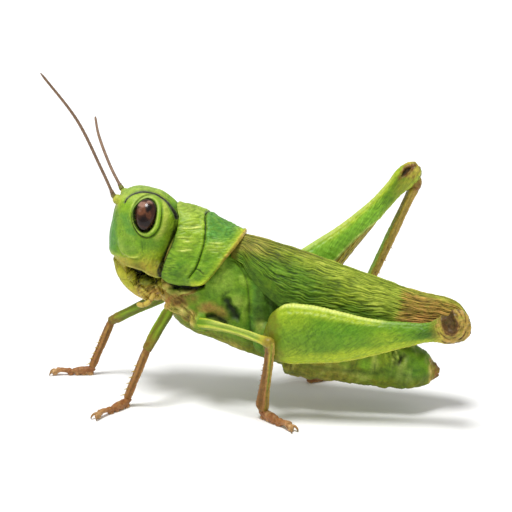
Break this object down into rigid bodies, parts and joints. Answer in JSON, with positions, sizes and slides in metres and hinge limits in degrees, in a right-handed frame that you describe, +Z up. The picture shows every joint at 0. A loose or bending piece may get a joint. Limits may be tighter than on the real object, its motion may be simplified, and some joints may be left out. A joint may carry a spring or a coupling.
{
  "type": "grasshopper",
  "caption": "Life-size still model of a large green short-horned grasshopper, standing with one hind leg folded and the other raised.",
  "frame": {"origin": "on the floor under the middle of the animal's bounding box", "axes": "the head looks along -X, the animal's left side is towards -Y and +Z is up"},
  "size_m": [0.0668, 0.0352, 0.0511],
  "materials": {
    "head_shell": "smooth green shell, slightly waxy",
    "saddle_shell": "yellow-green shell with dark grooves",
    "body_skin": "green skin with soft folds",
    "mouth": "yellow and tan mouthparts",
    "eye": "glossy dark red-brown",
    "feeler": "brown",
    "wing": "wrinkled, green to brown towards the tip",
    "thigh": "smooth bright green",
    "shin": "yellow-brown",
    "foot": "red-brown, with claws"
  },
  "bodies": {
    "root": {"abdomen": "body_skin", "antenna_left": "feeler", "antenna_right": "feeler", "coxa_front_left": "body_skin", "coxa_front_right": "body_skin", "coxa_hind_left": "body_skin", "coxa_hind_right": "body_skin", "coxa_middle_left": "body_skin", "coxa_middle_right": "body_skin", "eye_left": "eye", "eye_right": "eye", "femur_front_left": "thigh", "femur_front_right": "thigh", "femur_hind_left": "thigh", "femur_hind_right": "thigh", "femur_middle_left": "thigh", "femur_middle_right": "thigh", "head": "head_shell", "labium": "mouth", "labrum": "mouth", "mandible_left": "mouth", "mandible_right": "mouth", "neck": "body_skin", "ovipositor": "body_skin", "palp_left": "mouth", "palp_right": "mouth", "pronotum": "saddle_shell", "tarsus_front_left": "foot", "tarsus_front_right": "foot", "tarsus_hind_left": "foot", "tarsus_hind_right": "foot", "tarsus_middle_left": "foot", "tarsus_middle_right": "foot", "thorax": "body_skin", "tibia_front_left": "shin", "tibia_front_right": "shin", "tibia_hind_left": "shin", "tibia_hind_right": "shin", "tibia_middle_left": "shin", "tibia_middle_right": "shin", "wing_left": "wing", "wing_right": "wing"}
  },
  "joints": []
}
